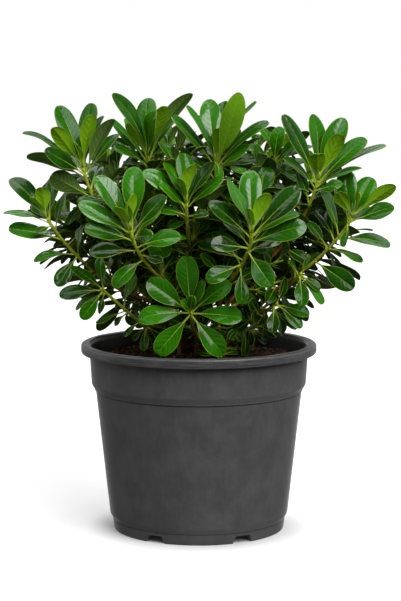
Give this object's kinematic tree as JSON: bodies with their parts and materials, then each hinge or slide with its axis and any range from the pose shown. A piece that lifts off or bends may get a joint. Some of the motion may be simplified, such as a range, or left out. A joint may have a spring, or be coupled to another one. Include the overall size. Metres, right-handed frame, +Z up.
{
  "type": "potted pittosporum",
  "caption": "Dwarf pittosporum shrub with rosettes of glossy obovate leaves and lime green young tips, growing in soil in a round tapered nursery pot.",
  "frame": {"origin": "centre of the pot's underside, on the surface that it stands on, under the pot's axis", "axes": "+Z up along the pot's axis, -Y towards the plant's front, +X to the right as seen from the front"},
  "size_m": [0.3882, 0.2829, 0.4448],
  "materials": {
    "pot_plastic": "matte",
    "soil_mix": "matte",
    "bark": "matte",
    "mature_leaf": "gloss",
    "young_leaf": "satin"
  },
  "bodies": {
    "root": {"pot": "pot_plastic", "soil": "soil_mix", "stem_front": "bark", "stem_front_left": "bark", "stem_front_right": "bark", "stem_left": "bark", "stem_right": "bark", "stem_middle": "bark", "stem_back_left": "bark", "stem_back": "bark", "stem_back_right": "bark", "shoot_front_low": "mature_leaf", "shoot_front_right": "mature_leaf", "shoot_front_left": "mature_leaf", "shoot_front_middle": "mature_leaf", "shoot_top_middle": "mature_leaf", "shoot_right_high": "mature_leaf", "shoot_left_high": "mature_leaf", "shoot_right_side": "mature_leaf", "shoot_left_side": "mature_leaf", "shoot_top_left": "mature_leaf", "shoot_low_left": "mature_leaf", "shoot_top_right": "mature_leaf", "shoot_low_right": "mature_leaf", "shoot_low_right_inner": "mature_leaf", "shoot_inner_left": "mature_leaf", "shoot_inner_right": "mature_leaf", "shoot_back_left_high": "mature_leaf", "shoot_back_left_side": "mature_leaf", "shoot_back_top_left": "mature_leaf", "shoot_back_top": "mature_leaf", "shoot_back_top_right": "mature_leaf", "shoot_back_right_high": "mature_leaf", "shoot_back_right_side": "mature_leaf", "shoot_back_left": "mature_leaf", "shoot_back_middle": "mature_leaf", "shoot_back_right_low": "mature_leaf", "shoot_back_right": "mature_leaf", "shoot_back_low_left": "mature_leaf", "shoot_back_low": "mature_leaf", "shoot_back_low_right": "mature_leaf", "young_leaves_front_right": "young_leaf", "young_leaves_front_left": "young_leaf", "young_leaves_front_middle": "young_leaf", "young_leaves_top_middle": "young_leaf", "young_leaves_right_high": "young_leaf", "young_leaves_left_high": "young_leaf", "young_leaves_right_side": "young_leaf", "young_leaves_left_side": "young_leaf", "young_leaves_top_left": "young_leaf", "young_leaves_top_right": "young_leaf", "young_leaves_back_left_high": "young_leaf", "young_leaves_back_left_side": "young_leaf", "young_leaves_back_top_left": "young_leaf", "young_leaves_back_top": "young_leaf", "young_leaves_back_top_right": "young_leaf", "young_leaves_back_right_high": "young_leaf", "young_leaves_back_right_side": "young_leaf", "young_leaves_back_middle": "young_leaf", "young_leaves_back_right": "young_leaf"}
  },
  "joints": []
}
